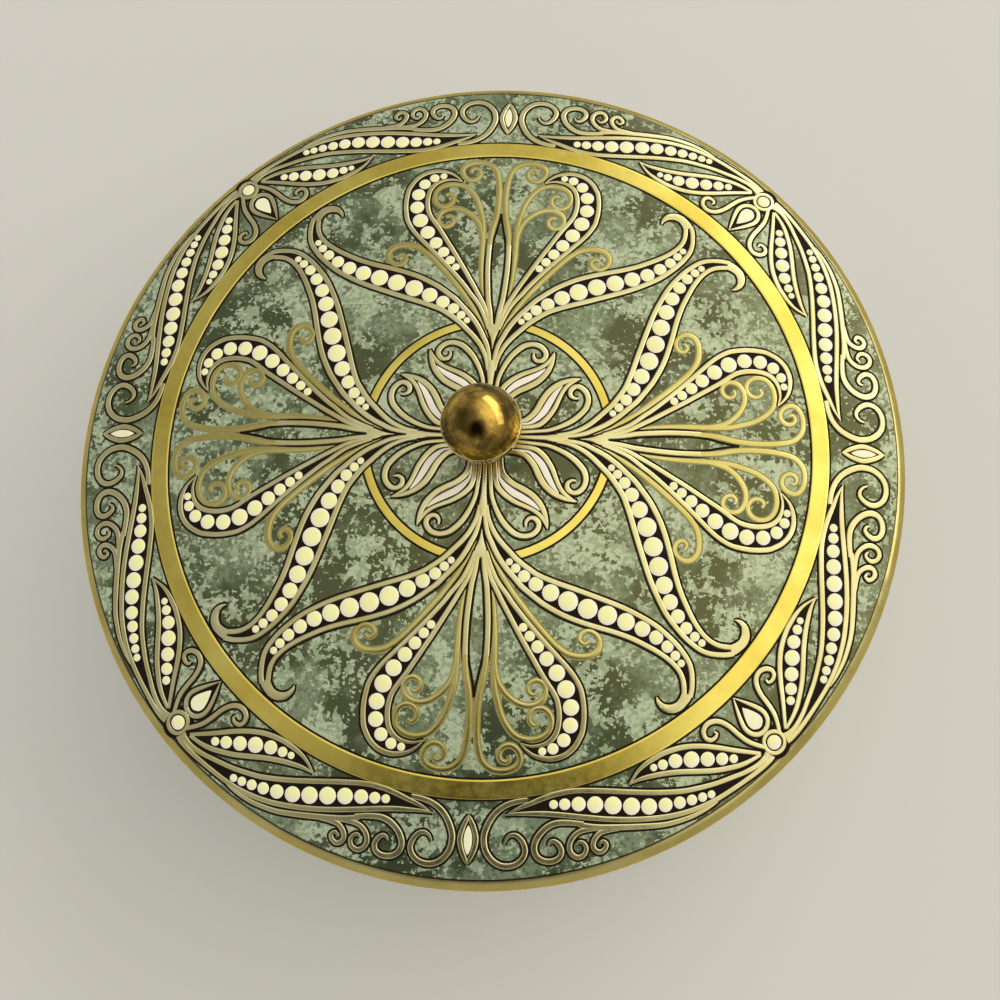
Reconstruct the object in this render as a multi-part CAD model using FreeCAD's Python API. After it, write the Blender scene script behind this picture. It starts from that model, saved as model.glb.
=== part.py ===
"""Round decorative tin: a rolled body with a seamed base, and a domed slip lid with a brass ball knob.

Millimetres, +Z up. The origin is on the tin's axis, at the level that the base seam stands on.
"""
import FreeCAD, Part
import math
import os
from collections import namedtuple

# Sheet metal
sheet = 0.4                     # tinplate gauge
overrun = 1.0                   # how far a cutter passes the face that it cuts

# Lid
lid_diameter = 210.0            # over the skirt
crown_radius = 670.0            # outside of the shallow dome
shoulder_radius = 4.2           # outside of the rounded edge between dome and skirt
skirt_drop = 14.0               # from the shoulder's centre down to the hem's centre
hem_radius = 1.1                # outside of the hem, which is rolled outwards
hem_stop_angle = 450.0          # the roll ends at its top, facing the skirt

# Body
body_height = 82.0              # from the level it stands on to the top of its rim
slip_clearance = 0.6            # between the wall and the inside of the lid's skirt
rim_radius = 1.5                # outside of the rim, which is curled inwards
rim_free_angle = 250.0          # where the curl's free edge ends inside the tin
seat_gap = 0.3                  # between the rim and the inside of the lid's shoulder
side_seam_width = 6.0           # the folded seam up the back of the wall
side_seam_depth = 0.8           # how far the fold stands into the tin
side_seam_angle = 90.0          # at the back
side_groove_width = 0.5         # the line that the seam leaves outside
side_groove_depth = 0.15

# Base and the double seam that joins it to the wall
panel_height = 4.0              # from the level it stands on up to the panel's upper face
panel_bend = 1.0                # bend at the panel's edge, at mid sheet
seam_clearance = 0.05           # between the folded layers
hook_length = 1.4               # straight part of each hook
rest_facet = 0.1                # worn off the seam's lowest edge, which makes it flat

# Knob
ball_radius = 9.2
ball_flat = 0.8                 # height cut off the ball's underside, which makes it flat
ball_wall = 0.5
ball_joint_height = 1.1         # the joint of the two halves, above the ball's centre
spigot_length = 2.2             # how far the upper half reaches into the lower one
spigot_clearance = 0.03
insert_height = 6.0             # threaded insert, above the lower half's floor
insert_ledge = 0.6              # step on which the insert stands on the floor
insert_gap = 0.05               # around the insert's foot and around its neck
collar_radius = 4.6             # turned collar under the ball
collar_height = 1.6
collar_waist_share = 0.8        # depth of the collar's waist over half its height

# Fixing screw
screw_radius = 2.0
screw_clearance = 0.05          # between the screw and the insert's thread
hole_clearance = 0.2            # around the screw in lid, washer and collar
screw_reach_share = 0.7         # part of the insert's height that the screw enters
screw_head_radius = 3.8
screw_head_height = 2.4
screw_head_round = 0.8
slot_width = 1.0
slot_depth = 1.2
washer_radius = 6.0
washer_thick = 0.8

# Sizes that follow from these
lid_radius = lid_diameter / 2
wall_outer = lid_radius - sheet - slip_clearance
wall_middle = wall_outer - sheet / 2
wall_inner = wall_outer - sheet
hook_bend = sheet + seam_clearance
seam_bend = hook_bend + sheet + seam_clearance
seam_level = seam_bend + sheet / 2 - rest_facet
rim_level = body_height - rim_radius
screw_hole = screw_radius + hole_clearance

# The rim nests in the lid's shoulder, seat_gap away from it
shoulder_ring = lid_radius - shoulder_radius
rim_ring = wall_outer - rim_radius
nest = shoulder_radius - sheet - rim_radius - seat_gap
shoulder_level = rim_level - math.sqrt(nest ** 2 - (rim_ring - shoulder_ring) ** 2)
crown_level = shoulder_level - math.sqrt((crown_radius - shoulder_radius) ** 2 - shoulder_ring ** 2)
lid_top = crown_level + crown_radius
ball_floor = lid_top + collar_height
ball_level = ball_floor + ball_radius - ball_flat

# The insert's foot fills the lower half's flat floor
ball_inside = ball_radius - ball_wall
cup_shelf = ball_floor + ball_wall - ball_level
insert_radius = math.sqrt(ball_inside ** 2 - cup_shelf ** 2) - insert_gap
insert_neck = insert_radius - insert_ledge

axis_point = FreeCAD.Vector(0, 0, 0)
axis_up = FreeCAD.Vector(0, 0, 1)
full_turn = 360.0

# One bend of a sheet's middle line: its centre, its radius, and where it starts and stops, in degrees
Bend = namedtuple("Bend", "r z radius start stop")


def at(r, z):
    """Point of a profile: r from the axis, z up."""
    return FreeCAD.Vector(r, 0, z)


def on_bend(bend, radius, degrees):
    """Point at an angle on a bend drawn with another radius."""
    angle = math.radians(degrees)
    return at(bend.r + radius * math.cos(angle), bend.z + radius * math.sin(angle))


def line(start, stop):
    return Part.LineSegment(start, stop).toShape()


def arc(start, middle, stop):
    return Part.Arc(start, middle, stop).toShape()


def side_of_sheet(bends, first, run_out, offset):
    """Edges along one side of a bent sheet, and that side's two end points.

    The bends are joined by straight runs. first is the point where the sheet starts, or None where it
    starts with the first bend, and run_out is the straight run after the last bend.
    """
    edges = []
    here = None if first is None else first.add(FreeCAD.Vector(0, 0, offset))
    start = here
    for bend in bends:
        turn = 1 if bend.stop > bend.start else -1
        radius = bend.radius - turn * offset
        enter = on_bend(bend, radius, bend.start)
        leave = on_bend(bend, radius, bend.stop)
        if here is None:
            start = enter
        elif not here.isEqual(enter, Part.Precision.confusion()):
            edges.append(line(here, enter))
        edges.append(arc(enter, on_bend(bend, radius, (bend.start + bend.stop) / 2), leave))
        here = leave
    if run_out:
        ahead = math.radians(bends[-1].stop) + turn * math.pi / 2
        stop = here.add(at(run_out * math.cos(ahead), run_out * math.sin(ahead)))
        edges.append(line(here, stop))
        here = stop
    return edges, start, here


def turned(edges):
    """Solid of revolution about the axis, from the edges of a closed profile."""
    face = Part.Face(Part.Wire(Part.__sortEdges__(edges)))
    return face.revolve(axis_point, axis_up, full_turn)


def bent_sheet(bends, first=None, run_out=0):
    """Turned solid of a bent sheet, from the bends of its middle line."""
    upper, upper_start, upper_stop = side_of_sheet(bends, first, run_out, sheet / 2)
    lower, lower_start, lower_stop = side_of_sheet(bends, first, run_out, -sheet / 2)
    ends = [line(upper_start, lower_start), line(upper_stop, lower_stop)]
    return turned(upper + lower + ends)


def turned_points(points):
    """Turned solid of a profile with straight sides."""
    return turned([line(a, b) for a, b in zip(points, points[1:] + points[:1])])


def ring(inner, outer, low, high):
    return turned_points([at(inner, low), at(outer, low), at(outer, high), at(inner, high)])


def wall_strip(inner, outer, low, high, width, radius):
    """Upright strip of the wall, as wide as asked at a radius, at the side seam's angle."""
    points = [at(inner, low), at(outer, low), at(outer, high), at(inner, high)]
    face = Part.Face(Part.makePolygon(points + points[:1]))
    spread = math.degrees(width / radius)
    strip = face.revolve(axis_point, axis_up, spread)
    strip.rotate(axis_point, axis_up, side_seam_angle - spread / 2)
    return strip


def body_wall():
    """Rolled wall with a curled rim, a folded side seam and the hook that the base grips."""
    curl = Bend(rim_ring, rim_level, rim_radius - sheet / 2, rim_free_angle, 0)
    hook = Bend(wall_middle + hook_bend, seam_level, hook_bend, 180, 360)
    wall = bent_sheet([curl, hook], run_out=hook_length)
    low = panel_height + seam_clearance
    high = rim_level - rim_radius - seam_clearance
    fold = wall_strip(wall_inner - side_seam_depth, wall_middle, low, high, side_seam_width, wall_inner)
    groove_floor = wall_outer - side_groove_depth
    groove_cut = wall_outer + overrun
    groove = wall_strip(groove_floor, groove_cut, low, high, side_groove_width, wall_outer)
    return wall.fuse(fold).cut(groove).removeSplitter()


def base_panel():
    """Pressed base, set up into the wall, with its edge folded around the wall's hook."""
    edge = wall_inner - seam_clearance - sheet / 2
    middle = panel_height - sheet / 2
    hook_ring = wall_middle + hook_bend
    bends = [
        Bend(edge - panel_bend, middle - panel_bend, panel_bend, 90, 0),
        Bend(hook_ring, seam_level, seam_bend, 180, 360),
        Bend(hook_ring + seam_bend / 2, seam_level + hook_length, seam_bend / 2, 0, 180),
    ]
    panel = bent_sheet(bends, first=at(0, middle), run_out=hook_length)
    below = Part.makeCylinder(hook_ring + seam_bend + overrun, overrun, at(0, -overrun))
    return panel.cut(below)


def lid_shell():
    """Drawn lid: shallow dome, rounded shoulder, straight skirt and a hem rolled outwards."""
    dome = crown_radius - sheet / 2
    lean = math.degrees(math.atan2(shoulder_level - crown_level, shoulder_ring))
    hole = math.degrees(math.acos(screw_hole / dome))
    hem = hem_radius - sheet / 2
    bends = [
        Bend(0, crown_level, dome, hole, lean),
        Bend(shoulder_ring, shoulder_level, shoulder_radius - sheet / 2, lean, 0),
        Bend(lid_radius - sheet / 2 + hem, shoulder_level - skirt_drop, hem, 180, hem_stop_angle),
    ]
    return bent_sheet(bends)


def ball_point(radius, height):
    """Point of a sphere about the ball's centre, at a height above that centre."""
    return at(math.sqrt(radius ** 2 - height ** 2), ball_level + height)


def ball_arc(radius, high, low):
    middle = (math.asin(high / radius) + math.asin(low / radius)) / 2
    return arc(ball_point(radius, high), ball_point(radius, radius * math.sin(middle)), ball_point(radius, low))


def knob_cap():
    """Upper half of the hollow ball, with a spigot that pushes into the lower half."""
    spigot_outer = math.sqrt(ball_inside ** 2 - ball_joint_height ** 2) - spigot_clearance
    spigot_inner = spigot_outer - ball_wall
    joint = ball_level + ball_joint_height
    spigot_foot = joint - spigot_length
    lip = ball_point(ball_radius, ball_joint_height)
    shelf = math.sqrt(ball_inside ** 2 - spigot_inner ** 2)
    edges = [
        ball_arc(ball_radius, ball_radius, ball_joint_height),
        line(lip, at(spigot_outer, joint)),
        line(at(spigot_outer, joint), at(spigot_outer, spigot_foot)),
        line(at(spigot_outer, spigot_foot), at(spigot_inner, spigot_foot)),
        line(at(spigot_inner, spigot_foot), ball_point(ball_inside, shelf)),
        ball_arc(ball_inside, ball_inside, shelf),
        line(ball_point(ball_inside, ball_inside), ball_point(ball_radius, ball_radius)),
    ]
    return turned(edges)


def knob_cup():
    """Lower half of the hollow ball, with a flat floor that is pierced for the insert's neck."""
    floor = ball_floor - ball_level
    hole = insert_neck + insert_gap
    edges = [
        ball_arc(ball_radius, ball_joint_height, floor),
        line(ball_point(ball_radius, floor), at(hole, ball_floor)),
        line(at(hole, ball_floor), at(hole, ball_floor + ball_wall)),
        line(at(hole, ball_floor + ball_wall), ball_point(ball_inside, cup_shelf)),
        ball_arc(ball_inside, ball_joint_height, cup_shelf),
        line(ball_point(ball_inside, ball_joint_height), ball_point(ball_radius, ball_joint_height)),
    ]
    return turned(edges)


def knob_insert():
    """Threaded insert, seated on the lower half's floor, with its neck through it."""
    seat = ball_floor + ball_wall
    bore = screw_radius + screw_clearance
    points = [
        at(bore, ball_floor),
        at(insert_neck, ball_floor),
        at(insert_neck, seat),
        at(insert_radius, seat),
        at(insert_radius, seat + insert_height),
        at(bore, seat + insert_height),
    ]
    return turned_points(points)


def knob_collar():
    """Turned collar between the ball and the lid, drawn in at its waist."""
    half = collar_height / 2
    waist = collar_radius - half * collar_waist_share
    foot = at(collar_radius, lid_top)
    head = at(collar_radius, ball_floor)
    edges = [
        line(at(screw_hole, lid_top), foot),
        arc(foot, at(waist, lid_top + half), head),
        line(head, at(screw_hole, ball_floor)),
        line(at(screw_hole, ball_floor), at(screw_hole, lid_top)),
    ]
    return turned(edges)


# The washer's rim touches the underside of the dome, and the screw's head bears on the washer
washer_top = crown_level + math.sqrt((crown_radius - sheet) ** 2 - washer_radius ** 2)
head_top = washer_top - washer_thick


def screw_washer():
    return ring(screw_hole, washer_radius, head_top, washer_top)


def knob_screw():
    """Pan-head screw from under the lid, with a slot across its head."""
    tip = ball_floor + ball_wall + insert_height * screw_reach_share
    head = Part.makeCylinder(screw_head_radius, screw_head_height, at(0, head_top - screw_head_height))
    rim = [e for e in head.Edges if e.Closed and e.CenterOfMass.z < head_top - screw_head_height / 2]
    head = head.makeFillet(screw_head_round, rim)
    shank = Part.makeCylinder(screw_radius, tip - head_top + overrun, at(0, head_top - overrun))
    slot_length = 2 * (screw_head_radius + overrun)
    corner = FreeCAD.Vector(-slot_length / 2, -slot_width / 2, head_top - screw_head_height - overrun)
    slot = Part.makeBox(slot_length, slot_width, overrun + slot_depth, corner)
    return head.fuse(shank).cut(slot).removeSplitter()


pieces = {
    "body_wall": body_wall,
    "base_panel": base_panel,
    "lid_shell": lid_shell,
    "knob_cap": knob_cap,
    "knob_cup": knob_cup,
    "knob_insert": knob_insert,
    "knob_collar": knob_collar,
    "knob_screw": knob_screw,
    "screw_washer": screw_washer,
}

os.makedirs("parts", exist_ok=True)
for name, make in pieces.items():
    shape = make()
    shape.exportStep("parts/" + name + ".step")
    box = shape.BoundBox
    print(name, "solids", len(shape.Solids), "valid", shape.isValid(), "volume", round(shape.Volume, 2),
          "z", round(box.ZMin, 3), round(box.ZMax, 3), "r", round(box.XMax, 3))
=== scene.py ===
# %% [markdown]
# # A round tin with an embossed lid
#
# The object is a rolled tinplate box with a shallow domed slip lid and a hollow brass ball for a knob.
# The script loads its nine solids from model.glb at their real size. Blender adds what the solids leave
# out: the printed and lacquered finishes, and the lid's raised ornament of gold lines, dark outlines and
# cream pearls.
#
# Loading comes first, because every later piece takes its place from the loaded solids.

# %% Load the solids
import math

import bmesh
import bpy
from mathutils import Matrix, Vector
from mathutils.geometry import interpolate_bezier


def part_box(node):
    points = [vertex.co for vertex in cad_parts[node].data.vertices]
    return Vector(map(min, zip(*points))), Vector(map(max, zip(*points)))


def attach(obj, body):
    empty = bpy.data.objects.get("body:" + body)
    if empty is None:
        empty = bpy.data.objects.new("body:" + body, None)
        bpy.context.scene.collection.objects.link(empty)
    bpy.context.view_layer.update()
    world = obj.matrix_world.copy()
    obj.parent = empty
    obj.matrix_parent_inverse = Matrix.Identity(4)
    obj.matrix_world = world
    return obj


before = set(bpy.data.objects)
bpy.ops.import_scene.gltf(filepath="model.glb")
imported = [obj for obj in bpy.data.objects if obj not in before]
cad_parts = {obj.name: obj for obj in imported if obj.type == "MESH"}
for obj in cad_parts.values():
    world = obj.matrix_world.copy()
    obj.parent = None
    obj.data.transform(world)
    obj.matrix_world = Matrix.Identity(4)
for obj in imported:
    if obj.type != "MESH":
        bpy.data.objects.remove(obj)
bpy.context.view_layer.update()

print("solids:", ", ".join(sorted(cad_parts)))

# %% [markdown]
# ## The dome that carries the ornament
#
# The lid's top is part of a large sphere. The ornament is drawn flat, in millimetres on a plan of the
# lid, and then laid over that sphere. A shrinkwrap modifier could do the laying, but the sphere's own
# formula gives the height at any place exactly, and it needs no target mesh.

# %% Height of the dome
mm = 0.001
crown_radius = 670 * mm
lid_low, lid_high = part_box("lid_shell")
crown_centre = lid_high.z - crown_radius


def dome_level(x, y):
    """Height of the lid's outer face above the floor, in metres."""
    return crown_centre + math.sqrt(crown_radius**2 - x * x - y * y)


print(f"the dome rises to {lid_high.z / mm:.2f} mm, and the hem is {2 * lid_high.x / mm:.1f} mm across")

# %% [markdown]
# ## How the finishes are built
#
# Every finish is a small node tree that ends in one Principled shader. Three helpers keep the trees
# short: one turns a hex colour into the linear values that a shader works in, one fills a node's sockets,
# and one adds a node with its options and sockets in a single call. Noise sizes are given in millimetres,
# because a noise whose scale is one over a length has features of about that length.

# %% Helpers for finishes
def linear(hex_colour):
    """An sRGB hex value as the linear colour that a socket takes."""
    channels = [int(hex_colour[place:place + 2], 16) / 255 for place in (1, 3, 5)]
    return [c / 12.92 if c <= 0.04045 else ((c + 0.055) / 1.055) ** 2.4 for c in channels] + [1.0]


def start_material(name):
    """A new material and its Principled shader."""
    material = bpy.data.materials.new(name)
    material.use_nodes = True
    return material, material.node_tree.nodes["Principled BSDF"]


def fill_sockets(material, node, sockets):
    """Set each named or numbered socket to a value, or link it to another node's output."""
    for socket, value in sockets.items():
        if isinstance(value, bpy.types.NodeSocket):
            material.node_tree.links.new(value, node.inputs[socket])
        else:
            node.inputs[socket].default_value = value


def add_node(material, kind, sockets=None, output=0, **options):
    """Add one node with its options and sockets, and return one of its outputs."""
    node = material.node_tree.nodes.new(kind)
    for option, value in options.items():
        setattr(node, option, value)
    fill_sockets(material, node, sockets or {})
    return node.outputs[output]


def per_metre(size_mm):
    """The noise scale that gives features of this size."""
    return 1 / (size_mm * mm)


print("helpers for finishes are ready")

# %% [markdown]
# ## Mottled green print
#
# The ground of the lid is a lithographed print that imitates verdigris: a dark green wash that clears to
# sage in soft clouds, with crisp pale flecks sponged over it, thick in some places and thin in others.
# One noise alone looks even all over. Here a coarse noise makes the clouds, and another of middle size
# shifts the threshold of two finer ones, so that patches and small specks crowd together and thin out as
# they do on the tin. The finest noise also leaves dark specks in the clouds.

# %% Mottled green print
cloud_size, crowd_size, patch_size, speck_size = 20, 11, 2.6, 1.1
dark_green, sage_green, pale_green, fleck_green = "#35442F", "#7B8A6F", "#9DAC8C", "#B9C5A6"


def mottled_print(material, place):
    """Colour of the printed ground, as an output to link."""
    cloud = add_node(material, "ShaderNodeTexNoise", {
        "Vector": place, "Scale": per_metre(cloud_size), "Detail": 7.0, "Roughness": 0.62})
    crowd = add_node(material, "ShaderNodeTexNoise", {
        "Vector": place, "Scale": per_metre(crowd_size), "Detail": 3.0})
    patch = add_node(material, "ShaderNodeTexNoise", {
        "Vector": place, "Scale": per_metre(patch_size), "Detail": 3.0, "Roughness": 0.6})
    speck = add_node(material, "ShaderNodeTexNoise", {
        "Vector": place, "Scale": per_metre(speck_size), "Detail": 2.0, "Roughness": 0.6})
    wash_share = add_node(material, "ShaderNodeMapRange", {
        "Value": cloud, "From Min": 0.42, "From Max": 0.58}, interpolation_type="SMOOTHSTEP")
    wash = add_node(material, "ShaderNodeMix", {
        0: wash_share, 6: linear(dark_green), 7: linear(sage_green)}, output=2, data_type="RGBA")
    dark_share = add_node(material, "ShaderNodeMapRange", {
        "Value": speck, "From Min": 0.46, "From Max": 0.4, "To Max": 0.5}, interpolation_type="SMOOTHSTEP")
    specked = add_node(material, "ShaderNodeMix", {
        0: dark_share, 6: wash, 7: linear(dark_green)}, output=2, data_type="RGBA")
    crowding = add_node(material, "ShaderNodeMapRange", {
        "Value": crowd, "From Min": 0.3, "From Max": 0.7, "To Min": -0.15, "To Max": 0.15})
    patch_share = add_node(material, "ShaderNodeMapRange", {
        "Value": add_node(material, "ShaderNodeMath", {0: patch, 1: crowding}, operation="ADD"),
        "From Min": 0.535, "From Max": 0.56, "To Max": 0.9}, interpolation_type="SMOOTHSTEP")
    patched = add_node(material, "ShaderNodeMix", {
        0: patch_share, 6: specked, 7: linear(pale_green)}, output=2, data_type="RGBA")
    fleck_share = add_node(material, "ShaderNodeMapRange", {
        "Value": add_node(material, "ShaderNodeMath", {0: speck, 1: crowding}, operation="ADD"),
        "From Min": 0.58, "From Max": 0.6, "To Max": 0.95}, interpolation_type="SMOOTHSTEP")
    return add_node(material, "ShaderNodeMix", {
        0: fleck_share, 6: patched, 7: linear(fleck_green)}, output=2, data_type="RGBA")


print(f"the print has clouds of {cloud_size} mm, patches of {patch_size} mm and specks of {speck_size} mm")

# %% [markdown]
# ## Gold lacquer
#
# Bright tinplate under a clear yellow lacquer looks like gold, but it is tin that reflects. So it is a
# full metal with a yellow colour and a middling roughness. Slow changes of tone stand for handling, and
# small dark specks for the places where the lacquer is chipped. The lacquer has four depths: full on the
# ring, a little thinner on the tendrils, pale on the outlined lines, and darker on the rim, where the
# darker gold is painted shade for the dim shoulder.

# %% Gold lacquer
tone_size, dulled_size = 14, 2.6
chip_brown = "#6B4F22"


def lacquer_tone(material, place, deep_colour, bright_colour):
    """Colour and roughness of gold lacquer, as outputs to link."""
    tone = add_node(material, "ShaderNodeTexNoise", {
        "Vector": place, "Scale": per_metre(tone_size), "Detail": 3.0})
    dulled = add_node(material, "ShaderNodeTexNoise", {
        "Vector": place, "Scale": per_metre(dulled_size), "Detail": 5.0, "Roughness": 0.7})
    gold = add_node(material, "ShaderNodeMix", {
        0: add_node(material, "ShaderNodeMapRange", {"Value": tone, "From Min": 0.35, "From Max": 0.65}),
        6: linear(deep_colour), 7: linear(bright_colour)}, output=2, data_type="RGBA")
    worn_share = add_node(material, "ShaderNodeMapRange", {
        "Value": dulled, "From Min": 0.69, "From Max": 0.73, "To Max": 0.75})
    worn = add_node(material, "ShaderNodeMix", {
        0: worn_share, 6: gold, 7: linear(chip_brown)}, output=2, data_type="RGBA")
    roughness = add_node(material, "ShaderNodeMapRange", {
        "Value": dulled, "From Min": 0.3, "From Max": 0.7, "To Min": 0.2, "To Max": 0.33})
    return worn, roughness


def gold_lacquer(name, deep_colour, bright_colour):
    """Gold lacquer on a raised line or band."""
    material, shader = start_material(name)
    place = add_node(material, "ShaderNodeTexCoord", output="Object")
    colour, roughness = lacquer_tone(material, place, deep_colour, bright_colour)
    fill_sockets(material, shader, {"Base Color": colour, "Metallic": 1.0, "Roughness": roughness})
    return material


ring_gold = gold_lacquer("gold_lacquered_tinplate", "#D8BE53", "#EAD66C")
tendril_gold = gold_lacquer("soft_gold_lacquered_tinplate", "#BFB062", "#D2C67C")
line_gold = gold_lacquer("pale_gold_lacquered_tinplate", "#CDC182", "#DED5A0")
# The rim's gold, also used for the wall's bands, is darker than the rest: painted shade for the lid's dim
# shoulder.
rim_deep_gold, rim_bright_gold = "#B2A463", "#C6B97A"
print("made", ", ".join(gold.name for gold in (ring_gold, tendril_gold, line_gold)))

# %% [markdown]
# ## Ink and enamel
#
# The dark outlines are a brown-black ink printed before the sheet was pressed. The pearls, the hearts of
# the border and the flames near the knob are cream enamel inks, each one a little less yellowed than the
# one before. A pearl is a touch pinker and paler at its rim than on its crown, where the varnish has
# yellowed. The crown is where the face looks straight up, so the object's own normal tells the two apart.
# The soft tendrils have an olive tint beside them.

# %% Ink and enamel
ink_grain_size, stain_size, shade_grain_size = 3, 9, 2
ink_black, ink_brown, stain_cream = "#120C06", "#22170C", "#E3CE9A"
deep_olive, pale_olive = "#857A42", "#A79A58"


def outline_ink():
    """Brown-black printing ink, thin and a little glossy."""
    material, shader = start_material("brown_black_ink")
    place = add_node(material, "ShaderNodeTexCoord", output="Object")
    grain = add_node(material, "ShaderNodeTexNoise", {
        "Vector": place, "Scale": per_metre(ink_grain_size), "Detail": 3.0})
    colour = add_node(material, "ShaderNodeMix", {
        0: grain, 6: linear(ink_black), 7: linear(ink_brown)}, output=2, data_type="RGBA")
    fill_sockets(material, shader, {"Base Color": colour, "Roughness": 0.6, "Specular IOR Level": 0.1})
    return material


def cream_enamel(name, crown_colour, rim_colour):
    """Cream enamel ink, yellowed on the crown of each bead."""
    material, shader = start_material(name)
    facing = add_node(material, "ShaderNodeTexCoord", output="Normal")
    upward = add_node(material, "ShaderNodeSeparateXYZ", {0: facing}, output="Z")
    crown_share = add_node(material, "ShaderNodeMapRange", {
        "Value": upward, "From Min": 0.965, "From Max": 0.995}, interpolation_type="SMOOTHSTEP")
    place = add_node(material, "ShaderNodeTexCoord", output="Object")
    stain = add_node(material, "ShaderNodeTexNoise", {
        "Vector": place, "Scale": per_metre(stain_size), "Detail": 4.0})
    bead = add_node(material, "ShaderNodeMix", {
        0: crown_share, 6: linear(rim_colour), 7: linear(crown_colour)}, output=2, data_type="RGBA")
    stain_share = add_node(material, "ShaderNodeMapRange", {
        "Value": stain, "From Min": 0.5, "From Max": 0.75, "To Max": 0.25})
    colour = add_node(material, "ShaderNodeMix", {
        0: stain_share, 6: bead, 7: linear(stain_cream)}, output=2, data_type="RGBA")
    fill_sockets(material, shader, {"Base Color": colour, "Roughness": 0.38, "Coat Weight": 0.25})
    return material


def printed_shade():
    """Olive tint along the soft tendrils, where gold ink thins out over the green."""
    material, shader = start_material("olive_tint_print")
    place = add_node(material, "ShaderNodeTexCoord", output="Object")
    grain = add_node(material, "ShaderNodeTexNoise", {
        "Vector": place, "Scale": per_metre(shade_grain_size), "Detail": 4.0})
    colour = add_node(material, "ShaderNodeMix", {
        0: grain, 6: linear(deep_olive), 7: linear(pale_olive)}, output=2, data_type="RGBA")
    fill_sockets(material, shader, {"Base Color": colour, "Roughness": 0.45})
    return material


ink = outline_ink()
pearl_enamel = cream_enamel("cream_pearl_enamel", "#FFFBB0", "#FDF4DC")
heart_enamel = cream_enamel("cream_heart_enamel", "#FEF8CA", "#FDF4DC")
fill_enamel = cream_enamel("cream_fill_enamel", "#FFF6E2", "#FBEEDD")
olive_shade = printed_shade()
paints = (ink, pearl_enamel, heart_enamel, fill_enamel, olive_shade)
print("made", ", ".join(paint.name for paint in paints))

# %% [markdown]
# ## The printed sheets
#
# The lid and the wall are each one sheet: printed outside and plain tin inside. Two materials on two sets
# of faces would need the solid's mesh to be changed. Instead, one node compares the way a face looks with
# the way from the middle of the tin to it. They agree outside and oppose each other inside.
#
# The hem, the rim's curl and the fold of the base are thin rolls, and the solids have only a few flat
# facets round each of them, which a gloss would show one by one. The mesh stays as it is. On a roll the
# shader takes the direction from the ring in the roll's middle to the face, and that is the true round
# normal. A roll is given by the radius and height of that ring, the roll's own radius, and the height
# above which it is rounded.

# %% Outside, inside and rolls
roll_leeway_share, roll_inner_share = 0.34, 0.4


def facing_out(material, place, middle):
    """1 on faces that look away from the middle of the vessel, and 0 on the others."""
    normal = add_node(material, "ShaderNodeTexCoord", output="Normal")
    outward = add_node(material, "ShaderNodeVectorMath", {0: place, 1: middle}, operation="SUBTRACT")
    agree = add_node(material, "ShaderNodeVectorMath", {0: outward, 1: normal}, output="Value",
                     operation="DOT_PRODUCT")
    return add_node(material, "ShaderNodeMath", {0: agree, 1: 0.0}, operation="GREATER_THAN")


def axis_distance(material, place):
    """Distance from the tin's axis."""
    flat = add_node(material, "ShaderNodeVectorMath", {0: place, 1: (1, 1, 0)}, operation="MULTIPLY")
    return add_node(material, "ShaderNodeVectorMath", {0: flat}, output="Value", operation="LENGTH")


def rolled_normal(material, place, ring, level, reach, lowest):
    """The face's own normal, made truly round on a roll of sheet that runs round the tin."""
    flat = add_node(material, "ShaderNodeVectorMath", {0: place, 1: (1, 1, 0)}, operation="MULTIPLY")
    outward = add_node(material, "ShaderNodeVectorMath", {0: flat}, operation="NORMALIZE")
    core = add_node(material, "ShaderNodeVectorMath", {
        0: outward, 1: (ring, ring, ring), 2: (0, 0, level)}, operation="MULTIPLY_ADD")
    from_core = add_node(material, "ShaderNodeVectorMath", {0: place, 1: core}, operation="SUBTRACT")
    round_normal = add_node(material, "ShaderNodeVectorMath", {0: from_core}, operation="NORMALIZE")
    span = add_node(material, "ShaderNodeVectorMath", {0: from_core}, output="Value", operation="LENGTH")
    on_roll = add_node(material, "ShaderNodeMath", {
        0: span, 1: reach, 2: roll_leeway_share * reach}, operation="COMPARE")
    beyond = add_node(material, "ShaderNodeMath", {
        0: axis_distance(material, place), 1: ring - roll_inner_share * reach}, operation="GREATER_THAN")
    height = add_node(material, "ShaderNodeSeparateXYZ", {0: place}, output="Z")
    above = add_node(material, "ShaderNodeMath", {0: height, 1: lowest}, operation="GREATER_THAN")
    outer_side = add_node(material, "ShaderNodeMath", {0: beyond, 1: above}, operation="MULTIPLY")
    share = add_node(material, "ShaderNodeMath", {0: on_roll, 1: outer_side}, operation="MULTIPLY")
    own_normal = add_node(material, "ShaderNodeNewGeometry", output="Normal")
    return add_node(material, "ShaderNodeMix", {0: share, 4: own_normal, 5: round_normal}, output=1,
                    data_type="VECTOR")


print("masks for the two sides and the rolls of a sheet are ready")

# %% [markdown]
# The lid's print ends in a thin dark line near the shoulder. From there outwards, round the shoulder and
# down the skirt, the sheet shows plain gold lacquer. The wall has the same print between two gold bands,
# one above the seam and one under the rim. Nothing of the wall is seen in the photograph, so its bands
# are a plain guess.
#
# The print is thin, and the lacquered tin under it shines through: the ground glares yellow where it
# faces a window. A share of metal gives the shine of the pale ink, and a yellow tint on the gloss gives
# that of the dark ink.

# %% Printed sheets
rim_line_radius, rim_line_width = 101.8 * mm, 0.4 * mm
shine_through = 0.12
peel_size, peel_depth, peel_strength = 1.6, 0.03 * mm, 0.2
line_ink, inside_tin, gloss_yellow = "#1C130A", "#D6D2C6", "#FFE99A"


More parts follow.
